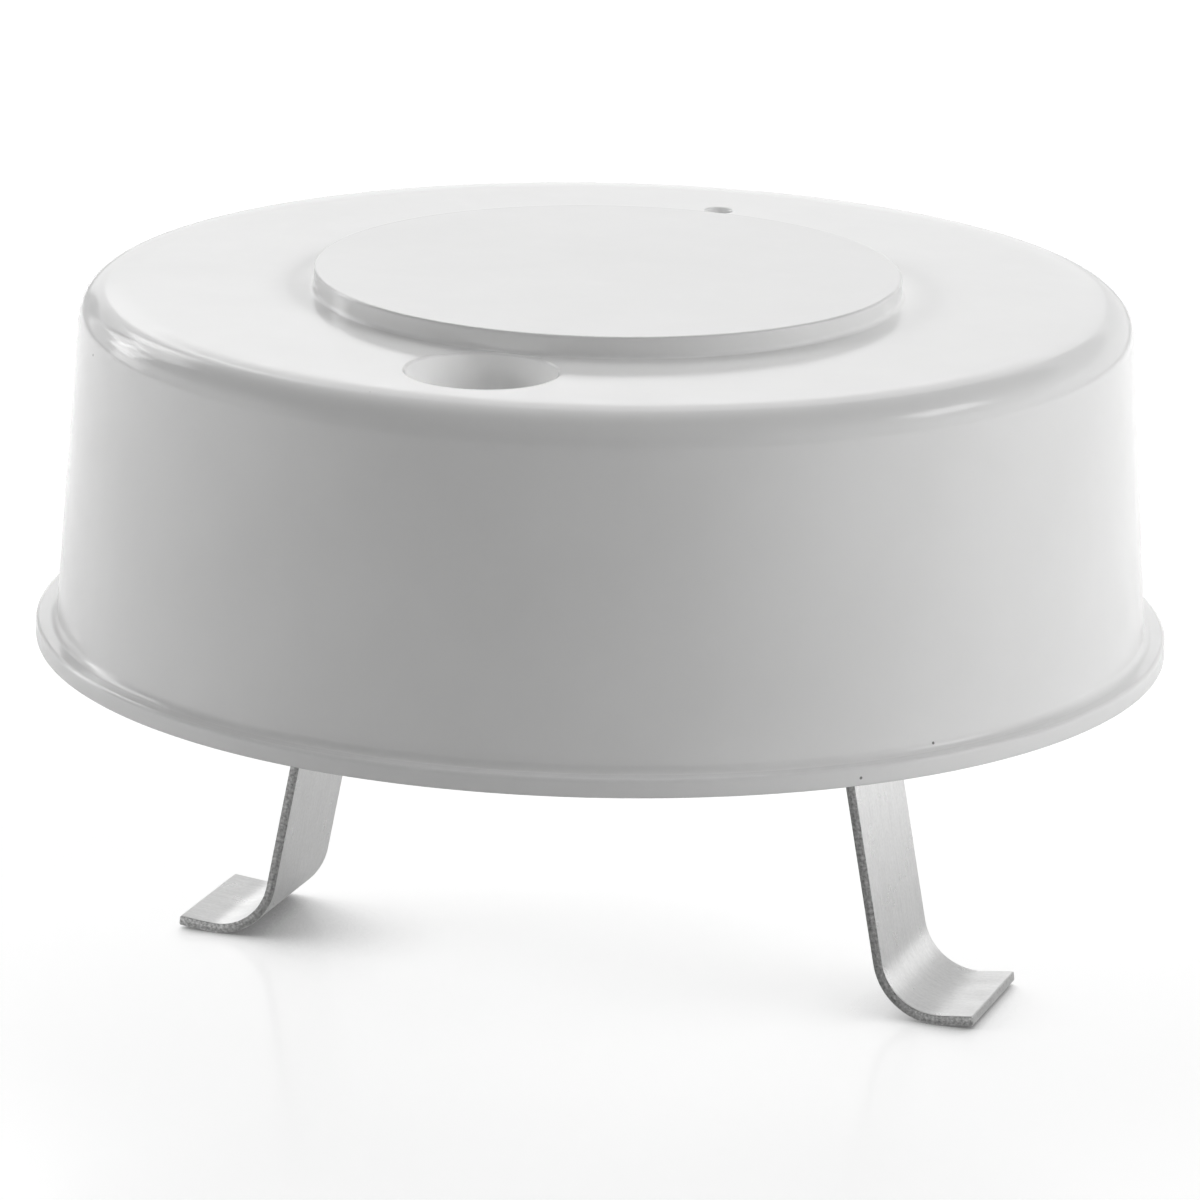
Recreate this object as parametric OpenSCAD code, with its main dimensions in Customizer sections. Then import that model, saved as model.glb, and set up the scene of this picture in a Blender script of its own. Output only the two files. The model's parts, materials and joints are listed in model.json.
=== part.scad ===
// Plumbing vent cap: a moulded cap held in the pipe by one bent spring strap.
// Millimetres. +Z is up along the cap's axis, the strap lies along X, and z = 0 is the
// plane that the two feet stand on.

/* [Cap] */
// Outer diameter of the rim
rim_d = 140; // [136:0.5:150]
// Thickness of the rim
rim_t = 2.3; // [1.8:0.1:3.2]
// Radius on the rim's upper outer edge
rim_edge_r = 0.5; // [0.2:0.1:0.9]
// Radius on the rim's lower outer edge
rim_foot_r = 0.2; // [0.1:0.05:0.4]
// Outer diameter of the skirt at the rim
skirt_foot_d = 134.9; // [132:0.1:135.4]
// Outer diameter of the skirt at the shoulder, smaller by the mould's draft
skirt_top_d = 129.8; // [124:0.1:131]
// Radius of the hollow corner between skirt and rim
rim_corner_r = 1; // [0.4:0.1:1.6]
// Height of the flat top above the rim's underside
cap_h = 43.9; // [40:0.1:52]
// Outer radius of the shoulder between skirt and top
shoulder_r = 4; // [3:0.1:6]
// Thickness of the cap's wall
wall = 2.4; // [1.8:0.1:2.8]

/* [Raised disc] */
// Diameter of the raised disc on the top
disc_d = 72.2; // [66:0.1:73]
// Height of the disc above the top
disc_h = 2.45; // [1.5:0.05:3.5]
// Radius on the disc's upper edge
disc_edge_r = 0.35; // [0.1:0.05:0.8]
// Radius of the hollow corner at the disc's foot
disc_corner_r = 0.5; // [0.2:0.05:0.8]

/* [Pocket and hole in the top] */
// Diameter of the round pocket beside the disc
pocket_d = 18.1; // [14:0.1:18.4]
// Depth of the pocket below the top
pocket_depth = 7; // [5:0.1:9]
// Radius between the pocket's wall and its floor
pocket_floor_r = 3; // [1:0.1:4]
// Radius on the edge of the pocket and of the small hole
lip_r = 0.3; // [0.1:0.05:0.5]
// Gap between the corner at the disc's foot and the pocket's lip
pocket_gap = 0.1; // [0.1:0.1:2]
// Diameter of the small hole on the far side
tie_hole_d = 3.4; // [2.5:0.1:6]
// Distance of the small hole's centre from the plane of the strap's mid-line
tie_hole_offset = 47.6; // [43:0.1:54]
// Distance by which the small hole stands to the side of the line through axis and pocket
tie_hole_shift = 1; // [0:0.1:3]

/* [Ribs inside the cap] */
// Angle between each of the four ribs and the strap's length
rib_angle = 45; // [40:1:52]
// Thickness of each rib
rib_t = 1.8; // [1.2:0.1:2.4]
// Depth of the ribs below the top's underside, where a pipe's end meets them
rib_depth = 10; // [8.5:0.1:13]
// Depth of the ribs below the top's underside at the skirt
rib_end_depth = 4; // [2.5:0.1:6]
// Distance of a rib's inner end from the cap's axis
rib_start = 18; // [17:0.1:22]
// Length of the level edge of each rib, where it meets the end of a pipe
rib_seat_l = 18; // [14:0.1:24]

/* [Spring strap] */
// Width of the strap
strap_w = 19; // [16:0.1:20]
// Thickness of the strap
strap_t = 1.2; // [0.8:0.05:1.6]
// Distance between the legs' upper corners, on the strap's mid-line
bridge_span = 52.4; // [48:0.1:56]
// Angle of each leg from the vertical
leg_splay = 10.7; // [6:0.1:14]
// Inner radius of the bends between bridge and legs
bridge_bend_r = 3; // [2:0.1:5]
// Inner radius of the bends between legs and feet
foot_bend_r = 7.1; // [4:0.1:9]
// Angle by which each foot rises towards its tip
foot_rise = 6; // [0:0.5:12]
// Length of the straight part of each foot
foot_flat = 4; // [2:0.1:10]
// Height of the rim's underside above the plane that the feet stand on
stand_h = 42.4; // [36:0.1:50]

/* [Strap fixing] */
// Distance between the two screws
screw_pitch = 30; // [26:0.1:34]
// Outer diameter of the screw bosses
boss_d = 8; // [7:0.1:10]
// Length of the screw bosses below the disc's underside
boss_h = 6; // [5:0.1:8]
// Diameter of the screws' shanks
screw_d = 2.9; // [2.2:0.1:3.5]
// Length of the screws' shanks
screw_l = 6; // [5:0.1:6.5]
// Diameter of the screws' heads
head_d = 6.6; // [5.5:0.1:7.5]
// Height of the screws' heads
head_h = 2.1; // [1.6:0.1:2.6]
// Radius on the edge of the screws' heads
head_edge_r = 1; // [0.4:0.1:1.4]
// Width of each slot of the cross in a head
cross_w = 0.9; // [0.6:0.05:1.2]
// Length of each slot of the cross in a head
cross_l = 3.6; // [2.6:0.1:4]
// Depth of the cross in a head
cross_depth = 1.2; // [0.8:0.1:1.4]
// Radial clearance of a shank in its boss
pilot_clearance = 0.05; // [0.02:0.01:0.1]
// Radial clearance of a shank in the strap
strap_hole_clearance = 0.5; // [0.2:0.05:0.8]
// Room past the end of a shank in its boss
pilot_end_clearance = 0.7; // [0.4:0.1:1]

/* [Hidden] */
$fn = 96;
// Overlap that joins one feature of a solid to the next, and length by which a cut overruns
join = 0.2;
// Share of an arc's radius by which it crosses the lines that it runs into, because two
// curves that only touch would leave a step a few ten-thousandths of a millimetre high
crossing = 0.0005;

rim_r = rim_d / 2;
disc_r = disc_d / 2;
pocket_r = pocket_d / 2;
pocket_offset = disc_r + disc_corner_r + pocket_gap + lip_r + pocket_r;

// The skirt leans in by this angle between the rim and the centre of the shoulder's arc
shoulder_z = cap_h - shoulder_r;
draft = atan((skirt_foot_d - skirt_top_d) / 2 / (shoulder_z - rim_t));
// Radius of the skirt's outer face at a height above the rim's underside
function skirt_r(z) = skirt_foot_d / 2 - (z - rim_t) * tan(draft);
shoulder_x = skirt_r(shoulder_z) - shoulder_r / cos(draft);

// Undersides of the flat top and of the disc, above the rim's underside
top_under = cap_h - wall;
disc_under = cap_h + disc_h - wall;

// Along the strap's mid-line, seen on edge, with the bridge at z = 0:
// radii of the bends, directions square to leg and foot, centres of the bends, and the tip
top_bend = bridge_bend_r + strap_t / 2;
foot_bend = foot_bend_r + strap_t / 2;
leg_side = [cos(leg_splay), sin(leg_splay)];
foot_side = [-sin(foot_rise), cos(foot_rise)];
foot_along = [cos(foot_rise), sin(foot_rise)];
bridge_flat = bridge_span / 2 - top_bend * tan((90 - leg_splay) / 2);
top_centre = [bridge_flat, -top_bend];
// The bridge hangs on the bosses, and the lower bends touch the plane that the feet stand on
bridge_top = stand_h + disc_under - boss_h;
bridge_mid = bridge_top - strap_t / 2;
foot_centre_z = strap_t / 2 + foot_bend - bridge_mid;
leg_drop = top_centre.y + (top_bend + foot_bend) * leg_side.y - foot_centre_z;
foot_centre = [
    top_centre.x + (top_bend + foot_bend) * leg_side.x + leg_drop * tan(leg_splay),
    foot_centre_z
];
foot_tip = foot_centre - foot_bend * foot_side + foot_flat * foot_along;

screw_x = [-screw_pitch / 2, screw_pitch / 2];
pilot_d = screw_d + 2 * pilot_clearance;
pilot_depth = screw_l - strap_t + pilot_end_clearance;
strap_hole_d = screw_d + 2 * strap_hole_clearance;

// What is cut off a sharp corner to round it: the space outside an arc, between the two
// directions in which the arc's centre sees its ends
module outside_arc(centre, r, side_a, side_b) {
    reach = 3 * r;
    translate(centre)
        difference() {
            polygon([[0, 0], reach * side_a, reach * (side_a + side_b), reach * side_b]);
            circle(r * (1 + crossing));
        }
}

// Half section of the cap's body without its rim, set in by a distance all round
module body_section(inset, floor_z) {
    r = shoulder_r - inset;
    top_z = shoulder_z + r;
    difference() {
        polygon([
            [0, floor_z], [skirt_r(floor_z) - inset / cos(draft), floor_z],
            [skirt_r(top_z) - inset / cos(draft), top_z], [0, top_z]
        ]);
        outside_arc([shoulder_x, shoulder_z], r, [cos(draft), sin(draft)], [0, 1]);
    }
}

// Fills the hollow corner between a level face and a wall that leans away from it,
// which meet at the origin, and leaves it rounded
module hollow_corner(r, lean) {
    centre = [r * (1 - sin(lean)) / cos(lean), r];
    touch = centre - r * [cos(lean), sin(lean)];
    difference() {
        polygon([
            centre, [centre.x, -join], [-join, -join],
            touch - [join, 0], touch
        ]);
        translate(centre) circle(r);
    }
}

// Half section of a disc, with its upper edge rounded
module round_edged_section(radius, thickness, edge_r) {
    difference() {
        square([radius, thickness]);
        outside_arc([radius - edge_r, thickness - edge_r], edge_r, [1, 0], [0, 1]);
    }
}

// Rim, skirt, shoulder, flat top and disc, turned about the axis
module shell_outside() {
    rotate_extrude() {
        body_section(0, 0);
        difference() {
            round_edged_section(rim_r, rim_t, rim_edge_r);
            outside_arc([rim_r - rim_foot_r, rim_foot_r], rim_foot_r, [1, 0], [0, -1]);
        }
        translate([skirt_r(rim_t), rim_t]) hollow_corner(rim_corner_r, draft);
        translate([0, cap_h - join]) round_edged_section(disc_r, disc_h + join, disc_edge_r);
        translate([disc_r, cap_h]) hollow_corner(disc_corner_r, 0);
    }
}

// Space under the skin, which follows the outside at a distance
module space_under_skin(depth) {
    rotate_extrude() {
        body_section(depth, -join);
        square([disc_r - depth, cap_h + disc_h - depth]);
    }
}

// One rib along +X: level where a pipe's end meets it, then rising to the skirt
module rib() {
    seat_z = top_under - rib_depth;
    seat_end = rib_start + rib_seat_l;
    end_z = top_under - rib_end_depth;
    top_z = cap_h + disc_h;
    intersection() {
        rotate([90, 0, 0])
            linear_extrude(rib_t, center = true)
                polygon([
                    [rib_start, seat_z], [seat_end, seat_z], [skirt_r(end_z), end_z],
                    [rim_r, end_z], [rim_r, top_z], [rib_start, top_z]
                ]);
        space_under_skin(wall / 2);
    }
}

// Ring that rounds the edge of a hole, cut from a face at z = 0
module lip_cut_section(radius) {
    difference() {
        translate([radius - join, -lip_r]) square([lip_r + join, lip_r + join]);
        translate([radius + lip_r, -lip_r]) circle(lip_r);
    }
}

// Space of the pocket about its own axis, with its mouth at z = 0
module pocket_space() {
    rotate_extrude() {
        difference() {
            translate([0, -pocket_depth]) square([pocket_r, pocket_depth + join]);
            outside_arc([pocket_r - pocket_floor_r, pocket_floor_r - pocket_depth],
                pocket_floor_r, [1, 0], [0, -1]);
        }
        lip_cut_section(pocket_r);
    }
}

module tie_hole() {
    translate([0, 0, -wall - join]) cylinder(d = tie_hole_d, h = wall + 2 * join);
    rotate_extrude() lip_cut_section(tie_hole_d / 2);
}

module cap() {
    color("whitesmoke")
        difference() {
            translate([0, 0, stand_h]) {
                difference() {
                    shell_outside();
                    space_under_skin(wall);
                }
                for (a = [rib_angle, 180 - rib_angle, 180 + rib_angle, 360 - rib_angle])
                    rotate([0, 0, a]) rib();
                translate([0, -pocket_offset, top_under - pocket_depth])
                    cylinder(r = pocket_r + wall, h = pocket_depth + wall / 2);
                for (x = screw_x)
                    translate([x, 0, disc_under - boss_h])
                        cylinder(d = boss_d, h = boss_h + wall / 2);
            }
            translate([0, -pocket_offset, stand_h + cap_h]) pocket_space();
            translate([-tie_hole_shift, tie_hole_offset, stand_h + cap_h]) tie_hole();
            for (x = screw_x)
                translate([x, 0, bridge_top - join]) cylinder(d = pilot_d, h = pilot_depth + join);
        }
}

// Everything below a line that runs at a height s over the strap's mid-line, from the
// middle of the bridge to a length past the foot's tip
module below_line(s, past_tip) {
    corner = top_centre + (top_bend + s) * [leg_side.x / (1 + leg_side.y), 1];
    foot_r = foot_bend - s;
    end = foot_tip + s * foot_side + past_tip * foot_along;
    deep = foot_tip.y - foot_bend - past_tip;
    difference() {
        polygon([
            [-join, deep], [-join, s], corner,
            foot_centre - foot_r * (1 - crossing) * leg_side, foot_centre,
            foot_centre - foot_r * (1 - crossing) * foot_side, end,
            end - strap_t * foot_side, [end.x, deep]
        ]);
        outside_arc(top_centre, top_bend + s, [0, 1], leg_side);
        translate(foot_centre) circle(foot_r);
    }
}

// Half of the strap on edge: what lies between its outer and its inner face
module half_strap_section() {
    difference() {
        below_line(strap_t / 2, 0);
        below_line(-strap_t / 2, foot_flat);
    }
}

module spring_strap() {
    color("silver")
        difference() {
            translate([0, 0, bridge_mid])
                rotate([90, 0, 0])
                    linear_extrude(strap_w, center = true) {
                        half_strap_section();
                        mirror([1, 0]) half_strap_section();
                    }
            for (x = screw_x)
                translate([x, 0, bridge_mid - strap_t])
                    cylinder(d = strap_hole_d, h = 2 * strap_t);
        }
}

// Pan-head screw with a cross in its head, with the bearing face at z = 0
module screw() {
    difference() {
        rotate_extrude() {
            mirror([0, 1]) round_edged_section(head_d / 2, head_h, head_edge_r);
            translate([0, -join]) square([screw_d / 2, screw_l + join]);
        }
        for (a = [0, 90])
            rotate([0, 0, a])
                translate([-cross_l / 2, -cross_w / 2, -head_h - join])
                    cube([cross_l, cross_w, cross_depth + join]);
    }
}

module strap_screws() {
    color("lightgray")
        for (x = screw_x)
            translate([x, 0, bridge_top - strap_t]) screw();
}

cap();
spring_strap();
strap_screws();
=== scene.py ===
"""Looks of the plumbing vent cap: a glossy moulded cap on a bent steel strap, in a white studio.
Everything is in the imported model's frame. Sizes are named in millimetres and built in metres."""
import json
import math

import bmesh
import bpy
from mathutils import Matrix, Vector


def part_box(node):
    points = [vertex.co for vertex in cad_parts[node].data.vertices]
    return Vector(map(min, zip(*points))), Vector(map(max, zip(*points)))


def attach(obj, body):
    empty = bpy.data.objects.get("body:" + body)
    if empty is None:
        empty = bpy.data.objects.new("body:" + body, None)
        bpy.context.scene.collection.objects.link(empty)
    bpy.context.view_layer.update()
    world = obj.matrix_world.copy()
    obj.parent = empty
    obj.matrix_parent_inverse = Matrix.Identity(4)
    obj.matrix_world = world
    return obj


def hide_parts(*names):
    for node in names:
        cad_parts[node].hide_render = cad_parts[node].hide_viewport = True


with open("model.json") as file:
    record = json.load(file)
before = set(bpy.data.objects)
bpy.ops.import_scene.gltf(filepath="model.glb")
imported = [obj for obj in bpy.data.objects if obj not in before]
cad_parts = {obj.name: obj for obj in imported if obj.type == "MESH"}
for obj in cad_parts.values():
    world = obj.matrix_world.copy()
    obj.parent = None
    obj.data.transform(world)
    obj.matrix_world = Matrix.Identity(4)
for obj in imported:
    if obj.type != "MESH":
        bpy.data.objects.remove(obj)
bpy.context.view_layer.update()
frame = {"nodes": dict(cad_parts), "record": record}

MM = 0.001

# The cap, in millimetres and degrees. Heights are above the rim's underside.
STAND_H = round(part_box("cap")[0].z / MM, 2)
RIM_R = round(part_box("cap")[1].x / MM, 2)
RIM_T, RIM_EDGE_R, RIM_CORNER_R, RIM_FOOT_R = 2.3, 0.5, 1.0, 0.2
SKIRT_FOOT_R, SKIRT_TOP_R = 67.45, 64.9
TOP_H, SHOULDER_R, WALL = 43.9, 4.0, 2.4
DISC_R, DISC_H, DISC_EDGE_R, DISC_CORNER_R = 36.1, 2.45, 0.35, 0.5
LIP_R = 0.3
POCKET_R, POCKET_DEPTH, POCKET_FLOOR_R, POCKET_GAP = 9.05, 7.0, 3.0, 0.1
POCKET_OFFSET = DISC_R + DISC_CORNER_R + POCKET_GAP + LIP_R + POCKET_R
RIB_ANGLE, RIB_T, RIB_DEPTH, RIB_END_DEPTH = 45.0, 1.8, 10.0, 4.0
RIB_START, RIB_SEAT_L, RIB_EDGE_R = 18.0, 18.0, 0.35
BOSS_R, BOSS_H, BOSS_EDGE_R = 4.0, 6.0, 0.4
PILOT_R, PILOT_DEPTH, SCREW_X = 1.5, 5.5, 15.0
# The top's outer edge tilts by this angle, over an arc of this radius, before the shoulder
PLATE_TILT, PLATE_EDGE_R = 4.5, 42.0

# The strap, in millimetres and degrees
STRAP_W, STRAP_T, STRAP_EDGE_R = 19.0, 1.2, 0.14
BRIDGE_SPAN, LEG_SPLAY = 52.4, 10.7
TOP_BEND, FOOT_BEND = 3.6, 7.7
FOOT_RISE, FOOT_FLAT = 6.0, 4.0
STRAP_HOLE_R = 1.95

# Meshes: steps round a turned solid, distance from an edge to its support, how far a cut starts
# outside the face it goes into, and the angles at which an edge counts as sharp
TURN_STEPS, SMALL_TURN_STEPS = 384, 96
SUPPORT, OVERSHOOT = 0.3, 1.0
SHARP_ANGLE, RIB_SHARP_ANGLE = 32, 40
# How a tip's end is rounded: its rings' angles, and how far they draw in for the edge's radius
TIP_ANGLES, TIP_INSET = (0, 30, 60, 90), 0.7
TOP_BEND_STEPS, FOOT_BEND_STEPS = 14, 24
ON_AXIS = 1e-6

# The plastic: level, how far it varies, its blue, and its roughness from and to
PLASTIC_LEVEL, PLASTIC_VARIES, PLASTIC_BLUE = 0.90, 0.015, 0.997
PLASTIC_ROUGHNESS, PLASTIC_IOR = (0.10, 0.16), 1.5
# Its noises: scale, per metre, and detail
PLASTIC_MOTTLE, PLASTIC_CLOUD, PLASTIC_RIPPLE, PLASTIC_PEEL = (60, 3), (220, 3), (45, 1), (900, 2)
# How much paler the pocket's wall is painted, a painted light for the light that falls into
# the pocket; how dull the raised disc's face is, and how far below that face this ends, in
# millimetres
POCKET_PAINTED_LIGHT, DISC_DULL, DISC_DULL_DEPTH = 0.06, 0.95, (0.2, 0.1)
# Specks: place in millimetres above the rim's underside, and radius
SPECKS = [
    (-52.12, -38.77, 39.04, 0.20),
    (-8.5, -60.54, 43.89, 0.18),
    (54.49, -39.68, 2.97, 0.22),
    (63.24, -30.02, 2.28, 0.22),
    (48.89, -50.1, 0.99, 0.22),
]
# A speck's level, and the share of its radius that is this dark
SPECK_LEVEL, SPECK_CORE = 0.25, 0.6

# The strap's steel: level, blue, and roughness from and to
STRAP_LEVEL, STRAP_BLUE, STRAP_ROUGHNESS = 0.82, 0.995, (0.26, 0.35)
# Its noises: scale, per metre, and detail
STRAP_MOTTLE, STRAP_CLOUD = (2600, 2), (260, 3)
# Its noises that follow the strip: scale along and across it, per millimetre, and detail
SCRATCH, STREAK, TEAR = (0.35, 6.0, 3), (0.05, 1.2, 2), (2.5, 6.0, 4)
STREAK_SHIFT, TEAR_PER_THICKNESS, STRIP_NOISE_ROUGHNESS = 5.0, 1.6, 0.55
# How much these noises change the level: from and to
SCRATCH_VARIES, STREAK_VARIES, MOTTLE_VARIES = (0.94, 1.05), (0.97, 1.03), (0.95, 1.04)
TEAR_VARIES, TIP_VARIES = (0.55, 1.45), (0.8, 1.2)
# How square a face stands to the Y or X axis, from not at all to fully, to count as sheared
SIDE_FACING, TIP_FACING = (0.45, 0.75), (0.6, 0.85)
# Levels of the sheared sides' two bands, how they change on the right leg and on the feet, and
# where the feet begin, in millimetres from the middle
SHEAR_SMOOTH, SHEAR_TORN, SHEAR_RIGHT, SHEAR_FOOT = 0.54, 0.42, 0.82, 1.45
SHEAR_FOOT_SPAN, SHEAR_ROUGHNESS = (42.0, 47.0), 0.55
# Where across the thickness one band gives way to the other, from -1 to 1
SHEAR_BANDS = (-0.15, 0.1)
# The tips' end faces: they lie below this height in millimetres, and their level
TIP_TOP, TIP_LEVEL = 2.0, 0.70

# The screws' steel: level and roughness, each from and to, and its noises' scale and detail
SCREW_LEVEL, SCREW_ROUGHNESS = (0.50, 0.60), (0.30, 0.42)
SCREW_MOTTLE, SCREW_CLOUD, SCREW_GRAIN = (900, 4), (350, 3), (3500, 3)
# The part of its range that a noise's value is mostly in
NOISE_LOW, NOISE_HIGH = 0.3, 0.7

# Bumps: strength and depth in metres of each
RIPPLE_BUMP, PEEL_BUMP = (0.25, 0.0002), (0.12, 0.00002)
BRUSHED_BUMP, GRAIN_BUMP, SCREW_BUMP = (0.22, 0.00002), (0.18, 0.00002), (0.2, 0.00002)

# The camera stands TURN degrees round from the pocket's side and looks down by PITCH. YAW is in
# degrees, ROLL in radians, and the distances from the axis and above the rim are in metres.
TURN, PITCH, YAW, ROLL = 18.4, 15.61, 0.0082, 0.0214
CAMERA_BACK, CAMERA_UP = 0.8585, 0.2440
FOCAL_PIXELS, IMAGE_PIXELS, SENSOR_MM = 7173.0, 1200.0, 36.0
CAMERA_NEAR, CAMERA_FAR = 0.05, 50

FLOOR_SIZE = 12.0
FLOOR_DIFFUSE = 0.72
# The floor as the camera and as gloss see it: its colour and its glow
FLOOR_SEEN, FLOOR_MIRRORED = (0.36, 0.80), (1.0, 0.42)
# Gloss sees the floor darker near the object: from and to in metres, and the level at each
SHADE_POOL = (0.08, 0.28, 0.53, 1.0)
FLOOR_GLOSS, FLOOR_GLOSS_ROUGHNESS = 0.08, 0.15
# The shade under the feet: its reach in metres, its level, the openness at which it is full and at
# which it ends, and the direction in degrees that the light it keeps off comes from
CONTACT_REACH, CONTACT_SHADE, CONTACT_OPEN, CONTACT_LIGHT = 0.027, 0.12, (0.2, 0.82), (-12, 42)
CONTACT_SAMPLES = 8

# The world as light, and as gloss sees it above the backdrop and on the camera's side
WORLD_LEVEL, WORLD_SEEN_HIGH, WORLD_SEEN_FRONT = 0.03, 0.15, 0.32
# The white backdrop's top in degrees, how it fades about that height's sine, and how it fades at
# the sides, by the cosine of the angle from straight behind the object
BACKDROP_TOP, BACKDROP_FADE, BACKDROP_SIDES = 17.0, (-0.01, 0.02), (-0.5, -0.2)

# Softboxes: left, right, bottom and top edge in degrees, distance in metres, brightness as the
# surfaces are lit by it, and brightness as gloss shows it.
# Angles are seen from the object: 0 is straight away from the camera, 90 is to the right.
SOFTBOXES = {
    "left": (-108, -62, 14, 31, 1.0, 5.2, 0.3),
    "left_back": (-55, -27, 26, 38, 1.0, 0.0, 2.2),
    "left_middle": (-49, -39, 16, 28, 1.0, 0.0, 2.6),
    "left_key": (-59, -47, 10, 24, 1.0, 0.0, 3.0),
    "left_low": (-66, -52, -2, 11, 1.0, 0.0, 1.4),
    "right": (70, 112, 20, 40, 1.0, 4.9, 0.0),
    "right_high": (84, 102, 29, 42, 1.1, 0.0, 2.8),
    "right_front": (114, 150, 5, 35, 1.1, 2.0, 0.2),
    "back_left": (-34, -9, 18, 34, 1.1, 0.0, 1.0),
    "back_low": (-10, 68, 17, 32, 1.1, 0.0, 0.55),
    "back": (-30, 30, 24, 48, 1.2, 3.3, 0.0),
    "backdrop": (-34, 8, 2, 17, 1.4, 0.0, 0.30),
}
LIGHT_AIM = Vector((0, 0, 0.075))
# The grey card: left, right, bottom and top edge in degrees, distance in metres and brightness
CARD = (-35, -23, -2, 14, 0.55, 0.6)

SHOULDER_Z = TOP_H - SHOULDER_R
DRAFT = math.atan((SKIRT_FOOT_R - SKIRT_TOP_R) / (SHOULDER_Z - RIM_T))
DISC_TOP = TOP_H + DISC_H
TOP_UNDER = TOP_H - WALL
DISC_UNDER = TOP_H + DISC_H - WALL


def skirt_r(z):
    """Radius of the skirt's outer face at a height above the rim's underside."""
    return SKIRT_FOOT_R - (z - RIM_T) * math.tan(DRAFT)


SHOULDER_X = skirt_r(SHOULDER_Z) - SHOULDER_R / math.cos(DRAFT)
PLATE_DROP = (PLATE_EDGE_R - SHOULDER_R) * (1 - math.cos(math.radians(PLATE_TILT)))


# Meshes


def arc(x, z, radius, start, end, steps=8):
    """Points on an arc about (x, z), from one angle to another in degrees."""
    turns = [math.radians(start + (end - start) * i / steps) for i in range(steps + 1)]
    return [(x + radius * math.cos(a), z + radius * math.sin(a)) for a in turns]


def with_supports(section):
    """The section with a point close to each end of its long stretches, so that they shade flat."""
    out = [section[0]]
    for (x0, z0), (x1, z1) in zip(section, section[1:]):
        length = math.hypot(x1 - x0, z1 - z0)
        if length > 4 * SUPPORT:
            for share in (SUPPORT / length, 1 - SUPPORT / length):
                out.append((x0 + (x1 - x0) * share, z0 + (z1 - z0) * share))
        out.append((x1, z1))
    return out


def placed(name, data):
    """A new object in the scene."""
    made = bpy.data.objects.new(name, data)
    bpy.context.scene.collection.objects.link(made)
    return made


def mesh_object(name, verts, faces):
    """An object from vertices in millimetres above the rim's underside, moved to the row frame."""
    mesh = bpy.data.meshes.new(name)
    mesh.from_pydata([(x * MM, y * MM, (z + STAND_H) * MM) for x, y, z in verts], [], faces)
    work = bmesh.new()
    work.from_mesh(mesh)
    bmesh.ops.recalc_face_normals(work, faces=work.faces)
    work.to_mesh(mesh)
    work.free()
    return placed(name, mesh)


def turned(name, section, centre=(0, 0), steps=TURN_STEPS, start=0.0):
    """A solid turned from a section that starts and ends on its axis. start moves its points on
    round by a share of a step, so that they don't fall on another solid's."""
    verts, rings = [], []
    for r, z in section:
        if r < ON_AXIS:
            rings.append([len(verts)] * steps)
            verts.append((*centre, z))
            continue
        rings.append([len(verts) + i for i in range(steps)])
        for i in range(steps):
            a = 2 * math.pi * (i + start) / steps
            verts.append((centre[0] + r * math.cos(a), centre[1] + r * math.sin(a), z))
    faces = []
    for low, high in zip(rings, rings[1:]):
        for i in range(steps):
            j = (i + 1) % steps
            faces.append(tuple(dict.fromkeys((low[i], high[i], high[j], low[j]))))
    return mesh_object(name, verts, faces)


def joined(name, parts):
    """One object from several, which are used up."""
    work = bmesh.new()
    for part in parts:
        work.from_mesh(part.data)
        bpy.data.objects.remove(part)
    mesh = bpy.data.meshes.new(name)
    work.to_mesh(mesh)
    work.free()
    return placed(name, mesh)


def combine(piece, other, operation):
    """Adds other to piece or cuts it away. other is used up."""
    step = piece.modifiers.new("combine", "BOOLEAN")
    step.operation = operation
    step.solver = "EXACT"
    step.object = other
    seen = piece.evaluated_get(bpy.context.evaluated_depsgraph_get())
    mesh = bpy.data.meshes.new_from_object(seen)
    piece.modifiers.clear()
    piece.data = mesh
    bpy.data.objects.remove(other)


def finish_shading(piece):
    """Smooth shading that large flat faces dominate, with true edges kept sharp."""
    mesh = piece.data
    mesh.shade_smooth()
    mesh.set_sharp_from_angle(angle=math.radians(SHARP_ANGLE))
    weighted = piece.modifiers.new("flat_faces_lead", "WEIGHTED_NORMAL")
    weighted.keep_sharp = True


# The cap


def cap_section():
    """Half section of the moulding, from the middle of the disc round to its underside."""
    lean = math.degrees(DRAFT)
    corner_x = RIM_CORNER_R * (1 - math.sin(DRAFT)) / math.cos(DRAFT) + skirt_r(RIM_T)
    inner_foot = skirt_r(0) - WALL / math.cos(DRAFT)
    shoulder_z = SHOULDER_Z - PLATE_DROP
    section = [(0, DISC_TOP)]
    section += arc(DISC_R - DISC_EDGE_R, DISC_TOP - DISC_EDGE_R, DISC_EDGE_R, 90, 0, 6)
    section += arc(DISC_R + DISC_CORNER_R, TOP_H + DISC_CORNER_R, DISC_CORNER_R, 180, 270, 6)
    section += plate_edge()
    section += arc(SHOULDER_X, shoulder_z, SHOULDER_R, 90 - PLATE_TILT, lean, 28)
    section += arc(corner_x, RIM_T + RIM_CORNER_R, RIM_CORNER_R, 180 + lean, 270, 10)
    section += arc(RIM_R - RIM_EDGE_R, RIM_T - RIM_EDGE_R, RIM_EDGE_R, 90, 0, 6)
    section += arc(RIM_R - RIM_FOOT_R, RIM_FOOT_R, RIM_FOOT_R, 0, -90, 4)
    section += arc(inner_foot + RIM_FOOT_R, RIM_FOOT_R, RIM_FOOT_R, 270, 180, 4)
    section += arc(SHOULDER_X, SHOULDER_Z, SHOULDER_R - WALL, lean, 90, 12)
    section += [(DISC_R - WALL, TOP_UNDER), (DISC_R - WALL, DISC_UNDER), (0, DISC_UNDER)]
    return with_supports(section)


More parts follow.
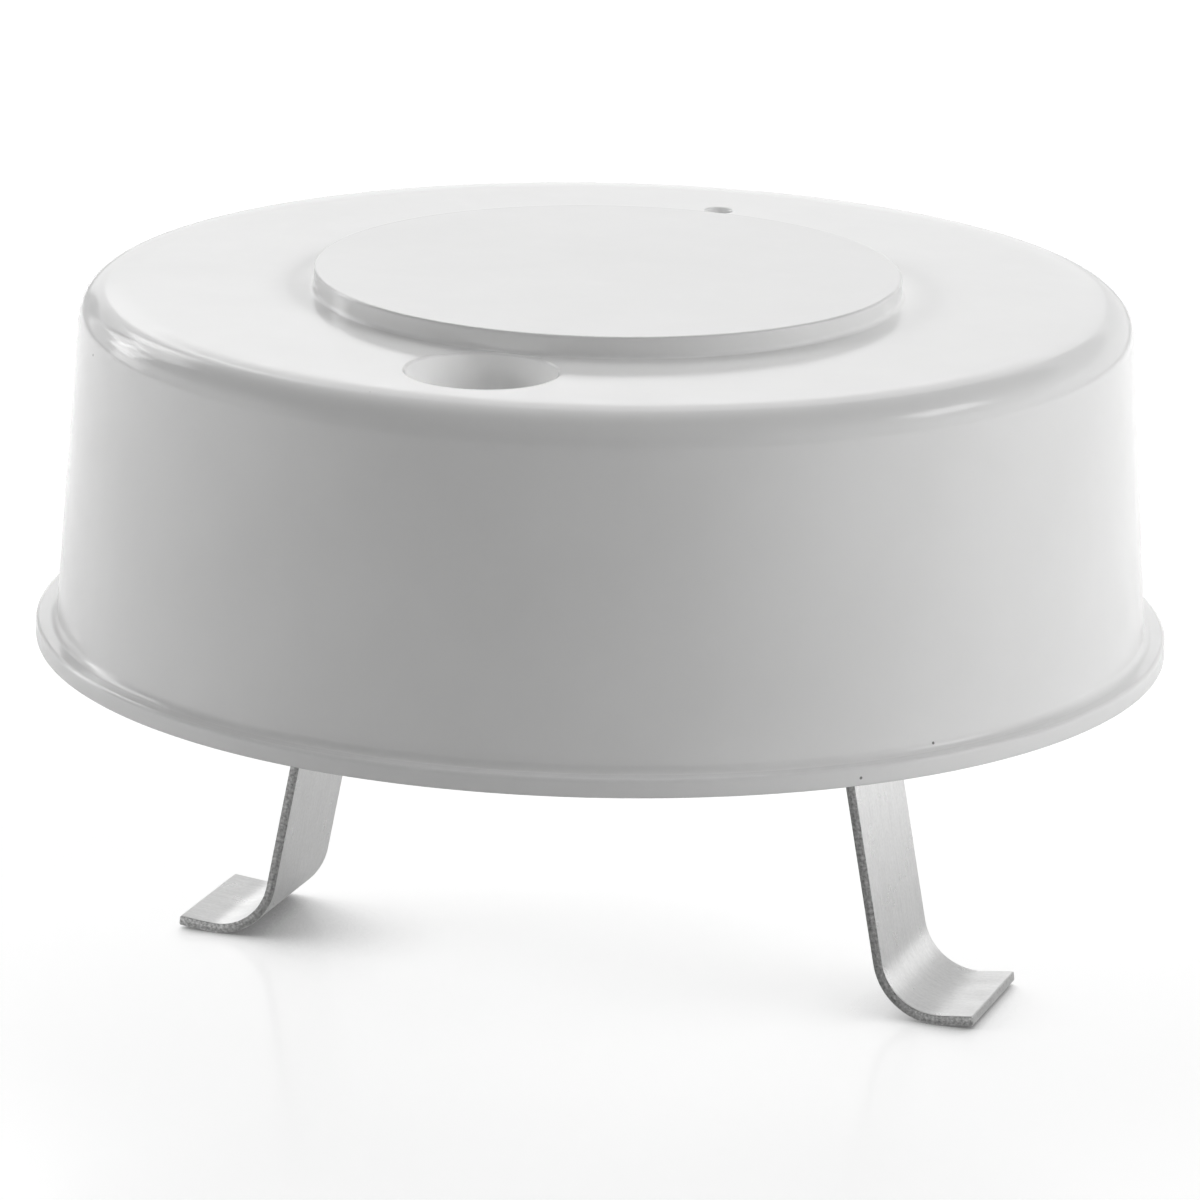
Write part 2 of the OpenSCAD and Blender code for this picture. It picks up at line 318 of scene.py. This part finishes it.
def plate_edge():
    """The outer few millimetres of the top, which bend down very slightly before the shoulder."""
    lean_out = math.sin(math.radians(PLATE_TILT))
    x = SHOULDER_X + SHOULDER_R * lean_out - PLATE_EDGE_R * lean_out
    return arc(x, TOP_H - PLATE_EDGE_R, PLATE_EDGE_R, 90, 90 - PLATE_TILT, 8)


def rib(angle):
    """A rib under the top: level where a pipe's end meets it, then rising to the skirt."""
    half_wall = WALL / 2
    seat_z, end_z = TOP_UNDER - RIB_DEPTH, TOP_UNDER - RIB_END_DEPTH
    outline = [(RIB_START, seat_z), (RIB_START + RIB_SEAT_L, seat_z)]
    outline += [(skirt_r(end_z) - WALL, end_z), (skirt_r(end_z) - half_wall, end_z)]
    outline += arc(SHOULDER_X, SHOULDER_Z, SHOULDER_R - half_wall, math.degrees(DRAFT), 90, 6)
    outline += [(DISC_R - half_wall, z + half_wall) for z in (TOP_UNDER, DISC_UNDER)]
    outline += [(RIB_START, DISC_UNDER + half_wall)]
    c, s = math.cos(math.radians(angle)), math.sin(math.radians(angle))
    verts = [
        (x * c - y * s, x * s + y * c, z)
        for y in (-RIB_T / 2, RIB_T / 2) for x, z in outline
    ]
    n = len(outline)
    faces = [tuple(range(n)), tuple(range(n, 2 * n))]
    faces += [(i, (i + 1) % n, n + (i + 1) % n, n + i) for i in range(n)]
    piece = mesh_object("rib", verts, faces)
    soften_seat(piece)
    return piece


def soften_seat(piece):
    """Rounds a rib's lower edges, which the mould leaves soft."""
    work = bmesh.new()
    work.from_mesh(piece.data)
    limit = (STAND_H + TOP_UNDER - RIB_END_DEPTH + SUPPORT) * MM
    sharp = math.radians(RIB_SHARP_ANGLE)
    lower = [
        e for e in work.edges
        if all(v.co.z < limit for v in e.verts) and e.calc_face_angle(0) > sharp
    ]
    bmesh.ops.bevel(
        work, geom=lower, offset=RIB_EDGE_R * MM, segments=3, profile=0.5, affect="EDGES"
    )
    work.to_mesh(piece.data)
    work.free()


def boss(radius, x, y, low, high):
    """A round boss that hangs from the cap's underside, with a rounded lower edge."""
    section = [(0, high), (radius, high)]
    section += arc(radius - BOSS_EDGE_R, low + BOSS_EDGE_R, BOSS_EDGE_R, 0, -90, 4) + [(0, low)]
    return turned("boss", section, (x, y), SMALL_TURN_STEPS, 0.5)


def lip(radius):
    """The rounded edge of a hole in the top, from just above the face down to the hole's wall."""
    edge = arc(radius + LIP_R, TOP_H - LIP_R, LIP_R, 90, 180, 6)
    return [(0, TOP_H + LIP_R), (radius + LIP_R, TOP_H + LIP_R)] + edge


def frame_mount(name):
    """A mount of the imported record."""
    return next(m for m in frame["record"]["mounts"] if m["name"] == name)


def make_cap():
    """The moulded cap, which stands for the CAD one with finer edges."""
    cap = turned("cap_moulding", cap_section())
    pocket_z, boss_z = TOP_H - POCKET_DEPTH, DISC_UNDER - BOSS_H
    screws = (-SCREW_X, SCREW_X)
    added = [rib(a) for a in (RIB_ANGLE, 180 - RIB_ANGLE, 180 + RIB_ANGLE, 360 - RIB_ANGLE)]
    added += [boss(POCKET_R + WALL, 0, -POCKET_OFFSET, pocket_z - WALL, TOP_H - WALL / 2)]
    added += [boss(BOSS_R, x, 0, boss_z, DISC_UNDER + WALL / 2) for x in screws]
    combine(cap, joined("added", added), "UNION")

    floor_r = POCKET_R - POCKET_FLOOR_R
    pocket = lip(POCKET_R) + [
        *arc(floor_r, pocket_z + POCKET_FLOOR_R, POCKET_FLOOR_R, 0, -90, 12), (0, pocket_z)
    ]
    tie = frame_mount("tie_hole")
    tie_r, tie_x, tie_y = tie["dims"]["r_mm"], tie["pos_m"][0] / MM, tie["pos_m"][1] / MM
    hole = lip(tie_r) + [(tie_r, TOP_UNDER - OVERSHOOT), (0, TOP_UNDER - OVERSHOOT)]
    pilot_z, outside_z = boss_z + PILOT_DEPTH, boss_z - OVERSHOOT
    pilot = [(0, pilot_z), (PILOT_R, pilot_z), (PILOT_R, outside_z), (0, outside_z)]
    cuts = [
        turned("cut", with_supports(pocket), (0, -POCKET_OFFSET), 2 * SMALL_TURN_STEPS),
        turned("cut", with_supports(hole), (tie_x, tie_y), SMALL_TURN_STEPS),
    ]
    cuts += [turned("cut", pilot, (x, 0), SMALL_TURN_STEPS // 2) for x in screws]
    combine(cap, joined("cuts", cuts), "DIFFERENCE")
    finish_shading(cap)
    return cap


# The strap


def strap_route():
    """Half of the strap's mid-line from the middle of the bridge: (x, z, heading) at each ring."""
    x, z, heading = 0.0, DISC_UNDER - BOSS_H - STRAP_T / 2, 0.0
    route = [(x, z, heading)]

    def forward(length):
        nonlocal x, z
        for share in (SUPPORT, length - SUPPORT, length):
            route.append((x + share * math.cos(heading), z + share * math.sin(heading), heading))
        x, z, _ = route[-1]

    def turn(radius, angle, steps):
        nonlocal x, z, heading
        reach = math.copysign(radius, angle)
        centre_x, centre_z = x - reach * math.sin(heading), z + reach * math.cos(heading)
        start = heading
        for i in range(1, steps + 1):
            heading = start + math.radians(angle) * i / steps
            x, z = centre_x + reach * math.sin(heading), centre_z - reach * math.cos(heading)
            route.append((x, z, heading))

    splay, fall = math.radians(LEG_SPLAY), 90 - LEG_SPLAY
    forward(BRIDGE_SPAN / 2 - TOP_BEND * math.tan(math.radians(fall / 2)))
    turn(TOP_BEND, -fall, TOP_BEND_STEPS)
    foot_centre_z = -STAND_H + STRAP_T / 2 + FOOT_BEND
    leg_end_z = foot_centre_z - FOOT_BEND * math.sin(splay)
    forward((z - leg_end_z) / math.cos(splay))
    turn(FOOT_BEND, fall + FOOT_RISE, FOOT_BEND_STEPS)
    forward(FOOT_FLAT)
    return route


def strap_ring(x, z, heading, inset=0.0):
    """A rounded rectangle square to the strap's line, drawn in by a distance."""
    r = STRAP_EDGE_R
    half_w, half_t = STRAP_W / 2 - inset, STRAP_T / 2 - inset
    outline = []
    for sw, st, start in ((1, 1, 0), (-1, 1, 90), (-1, -1, 180), (1, -1, 270)):
        corner = arc(sw * (half_w - r), st * (half_t - r), r, start, start + 90, 4)
        support = (sw * (half_w - r - SUPPORT), st * half_t)
        outline += corner + [support] if sw == st else [support] + corner
    up = (-math.sin(heading), math.cos(heading))
    return [(x + n * up[0], y, z + n * up[1]) for y, n in outline]


def tip_rings(x, z, heading, end):
    """The rings that round a tip, from the strap towards its end, which is -1 or 1."""
    rings = []
    for angle in TIP_ANGLES:
        back = STRAP_EDGE_R * (1 - math.sin(math.radians(angle)))
        along = end * (back - STRAP_EDGE_R)
        px, pz = x + along * math.cos(heading), z + along * math.sin(heading)
        rings.append(strap_ring(px, pz, heading, TIP_INSET * back))
    return rings if end < 0 else rings[::-1]


def make_strap():
    """The bent strip: sheared edges slightly rounded, both tips cut square, two screw holes."""
    half = strap_route()
    whole = [(-x, z, -h) for x, z, h in reversed(half[1:])] + half
    rings = tip_rings(*whole[0], -1)
    rings += [strap_ring(*place) for place in whole[1:-1]]
    rings += tip_rings(*whole[-1], 1)
    n = len(rings[0])
    verts = [v for ring in rings for v in ring]
    faces = [tuple(range(n)), tuple(range(len(verts) - n, len(verts)))]
    for k in range(len(rings) - 1):
        faces += [
            (k * n + i, k * n + (i + 1) % n, (k + 1) * n + (i + 1) % n, (k + 1) * n + i)
            for i in range(n)
        ]
    strap = mesh_object("strap_strip", verts, faces)
    high, low = half[0][1] + STRAP_T, half[0][1] - STRAP_T
    hole = [(0, high), (STRAP_HOLE_R, high), (STRAP_HOLE_R, low), (0, low)]
    holes = [turned("hole", hole, (x, 0), SMALL_TURN_STEPS // 2) for x in (-SCREW_X, SCREW_X)]
    combine(strap, joined("holes", holes), "DIFFERENCE")
    finish_shading(strap)
    mark_strap(strap.data, whole)
    return strap


def mark_strap(mesh, line):
    """Stores where each point lies on the strip, for its material: along its length in
    millimetres, and across its thickness from -1 on the inner face to 1 on the outer one."""
    spots, run = [], 0.0
    for (x0, z0, _), (x1, z1, _) in zip(line, line[1:]):
        length = math.hypot(x1 - x0, z1 - z0)
        spots.append((x0, z0, (x1 - x0) / length, (z1 - z0) / length, length, run))
        run += length
    values = {"along": [], "across": []}
    for vertex in mesh.vertices:
        px, pz = vertex.co.x / MM, vertex.co.z / MM - STAND_H
        best = None
        for x0, z0, dx, dz, length, start in spots:
            t = min(max((px - x0) * dx + (pz - z0) * dz, 0.0), length)
            off = math.hypot(px - x0 - t * dx, pz - z0 - t * dz)
            if best is None or off < best[0]:
                side = dx * (pz - z0) - dz * (px - x0)
                best = (off, start + t, math.copysign(off, side) * 2 / STRAP_T)
        values["along"].append(best[1])
        values["across"].append(best[2])
    for name, numbers in values.items():
        mesh.attributes.new(name, "FLOAT", "POINT").data.foreach_set("value", numbers)


# Shader nodes


def node(tree, kind, inputs=None, **settings):
    """A shader node. inputs holds values or other nodes' outputs, by socket name or number."""
    made = tree.nodes.new("ShaderNode" + kind)
    for name, value in settings.items():
        setattr(made, name, value)
    for name, value in (inputs or {}).items():
        socket = made.inputs[name]
        if isinstance(value, bpy.types.NodeSocket):
            tree.links.new(value, socket)
        else:
            socket.default_value = value
    return made


def material(name):
    """A new material with an empty node tree and its output node."""
    made = bpy.data.materials.new(name)
    made.use_nodes = True
    made.node_tree.nodes.clear()
    return made, made.node_tree, node(made.node_tree, "OutputMaterial")


def noise(tree, vector, scale, detail, roughness=0.5):
    """A noise's value, which is mostly between NOISE_LOW and NOISE_HIGH."""
    return node(
        tree, "TexNoise",
        {"Vector": vector, "Scale": scale, "Detail": detail, "Roughness": roughness},
    ).outputs["Fac"]


def spread(tree, value, low, high, out_low, out_high):
    """value mapped from one range to another and held within it."""
    return node(
        tree, "MapRange",
        {"Value": value, "From Min": low, "From Max": high, "To Min": out_low, "To Max": out_high},
    ).outputs["Result"]


def varied(tree, texture, low, high):
    """A noise's value spread from one number to another."""
    return spread(tree, texture, NOISE_LOW, NOISE_HIGH, low, high)


def maths(tree, operation, *values):
    """A plain sum, product or other operation on numbers or other nodes' outputs."""
    return node(tree, "Math", dict(enumerate(values)), operation=operation).outputs[0]


def times(tree, first, *others):
    """The product of numbers or other nodes' outputs."""
    for other in others:
        first = maths(tree, "MULTIPLY", first, other)
    return first


def distance(tree, place, other):
    """Distance between two places, either of which may be another node's output."""
    return node(tree, "VectorMath", {0: place, 1: other}, operation="DISTANCE").outputs["Value"]


def blend(tree, share, low, high):
    """A value between two, by a share from 0 to 1. Both may be other nodes' outputs."""
    rest = maths(tree, "SUBTRACT", 1.0, share)
    return maths(tree, "ADD", times(tree, rest, low), times(tree, share, high))


def mixed(tree, share, first, second):
    """Two shaders mixed by a share, or chosen by what kind of ray it is."""
    return node(tree, "MixShader", {0: share, 1: first, 2: second}).outputs[0]


def grey(level):
    """A plain grey, for a colour socket."""
    return (level, level, level, 1.0)


def tinted(tree, level, blue=None):
    """A grey from another node's output, with its blue multiplied by a number if one is given."""
    cool = times(tree, level, blue) if blue else level
    return node(
        tree, "CombineColor", {"Red": level, "Green": level, "Blue": cool}
    ).outputs["Color"]


def bumped(tree, height, strength_and_depth, normal=None):
    """The surface's direction as a height bends it, on top of another bump if one is given."""
    strength, depth = strength_and_depth
    inputs = {"Height": height, "Strength": strength, "Distance": depth}
    if normal is not None:
        inputs["Normal"] = normal
    return node(tree, "Bump", inputs).outputs["Normal"]


def object_place(tree):
    """Places on the object, in metres, and the same split into X, Y and Z."""
    place = node(tree, "TexCoord").outputs["Object"]
    return place, node(tree, "SeparateXYZ", {"Vector": place}).outputs


# The object's materials


def plastic_material():
    """Glossy off-white moulded plastic with faint mottling, ripple and a few dark specks."""
    made, tree, out = material("moulded_plastic")
    place, spot = object_place(tree)
    height = maths(tree, "SUBTRACT", times(tree, spot["Z"], 1 / MM), STAND_H)
    level = varied(
        tree, noise(tree, place, *PLASTIC_MOTTLE),
        PLASTIC_LEVEL * (1 - PLASTIC_VARIES), PLASTIC_LEVEL * (1 + PLASTIC_VARIES),
    )

    # The pocket's wall is painted a little paler: painted light for the light that falls into it
    centre = node(tree, "CombineXYZ", {"X": 0.0, "Y": -POCKET_OFFSET * MM, "Z": spot["Z"]})
    from_axis = distance(tree, place, centre.outputs[0])
    below_lip = maths(tree, "LESS_THAN", height, TOP_H - LIP_R)
    in_round = maths(tree, "LESS_THAN", from_axis, (POCKET_R + LIP_R) * MM)
    painted_pocket_light = times(tree, below_lip, in_round, POCKET_PAINTED_LIGHT)
    level = times(tree, level, maths(tree, "ADD", 1.0, painted_pocket_light))

    # Dark specks
    for x, y, z, radius in SPECKS:
        off = distance(tree, place, (x * MM, y * MM, (z + STAND_H) * MM))
        dark = spread(tree, off, radius * SPECK_CORE * MM, radius * MM, SPECK_LEVEL, 1.0)
        level = times(tree, level, dark)

    # The raised disc's face is a little duller than the rest
    dull_from, dull_to = (DISC_TOP - depth for depth in DISC_DULL_DEPTH)
    level = times(tree, level, spread(tree, height, dull_from, dull_to, 1.0, DISC_DULL))

    ripple = bumped(tree, noise(tree, place, *PLASTIC_RIPPLE), RIPPLE_BUMP)
    shader = node(
        tree, "BsdfPrincipled",
        {
            "Base Color": tinted(tree, level, PLASTIC_BLUE),
            "Roughness": varied(tree, noise(tree, place, *PLASTIC_CLOUD), *PLASTIC_ROUGHNESS),
            "IOR": PLASTIC_IOR,
            "Normal": bumped(tree, noise(tree, place, *PLASTIC_PEEL), PEEL_BUMP, ripple),
        },
    )
    tree.links.new(shader.outputs["BSDF"], out.inputs["Surface"])
    return made


def strap_material():
    """Rolled strip: brushed faces with faint mottling, and dark rough edges where it is sheared."""
    made, tree, out = material("strap_steel_finish")
    along = node(tree, "Attribute", attribute_name="along").outputs["Fac"]
    across = node(tree, "Attribute", attribute_name="across").outputs["Fac"]
    place, spot = object_place(tree)
    width = times(tree, spot["Y"], 1 / MM)
    true_normal = node(tree, "NewGeometry").outputs["True Normal"]
    facing = node(tree, "SeparateXYZ", {"Vector": true_normal}).outputs

    # Scratches run along the strip, whatever way it bends
    def strip_noise(per_along, per_width, detail, shift=0.0):
        where = {
            "X": times(tree, along, per_along), "Y": times(tree, width, per_width), "Z": shift
        }
        vector = node(tree, "CombineXYZ", where).outputs[0]
        return noise(tree, vector, 1.0, detail, STRIP_NOISE_ROUGHNESS)

    scratch = strip_noise(*SCRATCH)
    streak = strip_noise(*STREAK, STREAK_SHIFT)
    mottle = noise(tree, place, *STRAP_MOTTLE)
    cloud = noise(tree, place, *STRAP_CLOUD)
    face = times(
        tree, varied(tree, scratch, *SCRATCH_VARIES), varied(tree, streak, *STREAK_VARIES),
        varied(tree, mottle, *MOTTLE_VARIES), STRAP_LEVEL,
    )

    # The sheared sides: a smoother band on the outer half, a torn one on the inner half
    rough = strip_noise(*TEAR, times(tree, across, TEAR_PER_THICKNESS))
    band = spread(tree, across, *SHEAR_BANDS, SHEAR_TORN, SHEAR_SMOOTH)
    right = spread(tree, spot["X"], -MM, MM, 1.0, SHEAR_RIGHT)
    from_middle = maths(tree, "ABSOLUTE", spot["X"])
    foot_start, foot_end = SHEAR_FOOT_SPAN
    foot = spread(tree, from_middle, foot_start * MM, foot_end * MM, 1.0, SHEAR_FOOT)
    side = times(tree, band, right, foot, varied(tree, rough, *TEAR_VARIES))
    is_side = spread(tree, maths(tree, "ABSOLUTE", facing["Y"]), *SIDE_FACING, 0.0, 1.0)
    level = blend(tree, is_side, face, side)

    # The tips' end faces
    low = maths(tree, "LESS_THAN", spot["Z"], TIP_TOP * MM)
    upright = spread(tree, maths(tree, "ABSOLUTE", facing["X"]), *TIP_FACING, 0.0, 1.0)
    is_tip = times(tree, low, upright)
    tip = times(tree, TIP_LEVEL, varied(tree, rough, *TIP_VARIES))
    level = blend(tree, is_tip, level, tip)

    is_edge = maths(tree, "MAXIMUM", is_side, is_tip)
    dull = varied(tree, cloud, *STRAP_ROUGHNESS)
    shader = node(
        tree, "BsdfPrincipled",
        {
            "Base Color": tinted(tree, level, STRAP_BLUE),
            "Metallic": 1.0,
            "Roughness": blend(tree, is_edge, dull, SHEAR_ROUGHNESS),
            "Normal": bumped(tree, mottle, GRAIN_BUMP, bumped(tree, scratch, BRUSHED_BUMP)),
        },
    )
    tree.links.new(shader.outputs["BSDF"], out.inputs["Surface"])
    return made


def screw_material():
    """Plated steel screws, with faint cloudy mottling."""
    made, tree, out = material("screw_steel_finish")
    place, _ = object_place(tree)
    level = varied(tree, noise(tree, place, *SCREW_MOTTLE), *SCREW_LEVEL)
    shader = node(
        tree, "BsdfPrincipled",
        {
            "Base Color": tinted(tree, level),
            "Metallic": 1.0,
            "Roughness": varied(tree, noise(tree, place, *SCREW_CLOUD), *SCREW_ROUGHNESS),
            "Normal": bumped(tree, noise(tree, place, *SCREW_GRAIN), SCREW_BUMP),
        },
    )
    tree.links.new(shader.outputs["BSDF"], out.inputs["Surface"])
    return made


# Stage, light and camera


def towards(azimuth, elevation):
    """Direction from the object, by angles in degrees."""
    a, e = math.radians(90 + TURN - azimuth), math.radians(elevation)
    return Vector((math.cos(a) * math.cos(e), math.sin(a) * math.cos(e), math.sin(e)))


def make_floor():
    """A pale floor that the camera sees white, apart from the object's shadow."""
    half = FLOOR_SIZE / 2
    mesh = bpy.data.meshes.new("floor")
    corners = [(-half, -half, 0), (half, -half, 0), (half, half, 0), (-half, half, 0)]
    mesh.from_pydata(corners, [], [(0, 1, 2, 3)])
    floor = placed("floor", mesh)
    made, tree, out = material("pale_floor")
    path = node(tree, "LightPath").outputs
    plain = node(tree, "BsdfDiffuse", {"Color": grey(FLOOR_DIFFUSE)}).outputs[0]

    # The shade falls from the feet towards the camera's side, as the light comes from behind them
    to_light = node(tree, "CombineXYZ", dict(enumerate(towards(*CONTACT_LIGHT)))).outputs[0]
    openness = node(
        tree, "AmbientOcclusion", {"Distance": CONTACT_REACH, "Normal": to_light},
        samples=CONTACT_SAMPLES,
    ).outputs["AO"]
    shade = spread(tree, openness, *CONTACT_OPEN, CONTACT_SHADE, 1.0)
    pool = spread(tree, distance(tree, object_place(tree)[0], (0, 0, 0)), *SHADE_POOL)

    def lit(colour, glow, share):
        pale = node(tree, "BsdfDiffuse", {"Color": tinted(tree, times(tree, colour, share))})
        strength = times(tree, glow, share)
        glowing = node(tree, "Emission", {"Color": grey(1.0), "Strength": strength})
        return node(tree, "AddShader", {0: pale.outputs[0], 1: glowing.outputs[0]}).outputs[0]

    gloss = node(tree, "BsdfGlossy", {"Color": grey(1.0), "Roughness": FLOOR_GLOSS_ROUGHNESS})
    seen = mixed(tree, FLOOR_GLOSS, lit(*FLOOR_SEEN, shade), gloss.outputs[0])
    unseen = mixed(tree, path["Is Glossy Ray"], plain, lit(*FLOOR_MIRRORED, pool))
    full = mixed(tree, path["Is Camera Ray"], unseen, seen)
    tree.links.new(full, out.inputs["Surface"])
    mesh.materials.append(made)


def make_world():
    """Dim light all round. The camera and reflections see a white backdrop, dim above its top."""
    world = bpy.data.worlds.new("studio")
    bpy.context.scene.world = world
    world.use_nodes = True
    tree = world.node_tree
    tree.nodes.clear()
    out = node(tree, "OutputWorld")
    path = node(tree, "LightPath").outputs
    mirrored = maths(tree, "MAXIMUM", path["Is Glossy Ray"], path["Is Transmission Ray"])
    way = node(tree, "TexCoord").outputs["Generated"]
    height = node(tree, "SeparateXYZ", {"Vector": way}).outputs["Z"]
    top = math.sin(math.radians(BACKDROP_TOP))
    fade_start, fade_end = (top + offset for offset in BACKDROP_FADE)
    back = spread(tree, height, fade_start, fade_end, 1.0, WORLD_SEEN_HIGH)
    behind = node(
        tree, "VectorMath", {0: way, 1: tuple(towards(0, 0))}, operation="DOT_PRODUCT"
    ).outputs["Value"]
    is_back = spread(tree, behind, *BACKDROP_SIDES, 0.0, 1.0)

    def background(strength):
        return node(tree, "Background", {"Color": grey(1.0), "Strength": strength}).outputs[0]

    reflected = background(blend(tree, is_back, WORLD_SEEN_FRONT, back))
    unseen = mixed(tree, mirrored, background(WORLD_LEVEL), reflected)
    full = mixed(tree, path["Is Camera Ray"], unseen, background(1.0))
    tree.links.new(full, out.inputs["Surface"])


def make_card():
    """A grey card on the left behind the object, which only its reflections show."""
    left, right, low, high, away, level = CARD
    corners = [LIGHT_AIM + away * towards(a, e) for e in (low, high) for a in (left, right)]
    mesh = bpy.data.meshes.new("grey_card")
    mesh.from_pydata(corners, [], [(0, 1, 3, 2)])
    card = placed("grey_card", mesh)
    made, tree, out = material("grey_card")
    shader = node(tree, "Emission", {"Color": grey(1.0), "Strength": level})
    tree.links.new(shader.outputs[0], out.inputs["Surface"])
    mesh.materials.append(made)
    card.visible_camera = card.visible_diffuse = card.visible_shadow = False


def make_lamps():
    """The softboxes, each turned towards the object, as one lamp that lights surfaces and one that
    gloss shows. A lamp's power is its brightness times pi times its area."""
    for name, (left, right, low, high, away, *levels) in SOFTBOXES.items():
        place = towards((left + right) / 2, (low + high) / 2)
        for kind, level in zip(("light", "gloss"), levels):
            if not level:
                continue
            data = bpy.data.lights.new(f"{name}_{kind}", "AREA")
            data.shape = "RECTANGLE"
            data.size = 2 * away * math.tan(math.radians(right - left) / 2)
            data.size_y = 2 * away * math.tan(math.radians(high - low) / 2)
            data.energy = level * math.pi * data.size * data.size_y
            lamp = placed(data.name, data)
            lamp.location = LIGHT_AIM + away * place
            lamp.rotation_euler = (-place).to_track_quat("-Z", "Y").to_euler()
            lamp.visible_diffuse = kind == "light"
            lamp.visible_glossy = kind == "gloss"


def make_camera():
    """The photograph's camera, as fitted to the cap's outline."""
    turn, pitch = math.radians(TURN), math.radians(PITCH)
    data = bpy.data.cameras.new("camera")
    data.sensor_width = SENSOR_MM
    data.lens = FOCAL_PIXELS / IMAGE_PIXELS * SENSOR_MM
    data.clip_start, data.clip_end = CAMERA_NEAR, CAMERA_FAR
    camera = placed("camera", data)
    camera.location = (
        CAMERA_BACK * math.sin(turn), -CAMERA_BACK * math.cos(turn), STAND_H * MM + CAMERA_UP
    )
    camera.rotation_euler = (
        Matrix.Rotation(turn + math.radians(YAW), 4, "Z")
        @ Matrix.Rotation(math.pi / 2 - pitch, 4, "X")
        @ Matrix.Rotation(ROLL, 4, "Z")
    ).to_euler()
    bpy.context.scene.camera = camera


# The object


def dress():
    """The finer pieces in place of the cap and the strap, and the screws' new finish."""
    cap = make_cap()
    cap.data.materials.clear()
    cap.data.materials.append(plastic_material())
    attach(cap, "root")
    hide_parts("cap")

    strap = make_strap()
    strap.data.materials.clear()
    strap.data.materials.append(strap_material())
    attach(strap, "root")
    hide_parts("spring_strap")

    screws = frame["nodes"]["strap_screws"]
    screws.data.materials.clear()
    screws.data.materials.append(screw_material())


make_camera()
make_world()
make_floor()
make_lamps()
make_card()
dress()

bpy.context.scene.view_settings.view_transform = "Standard"
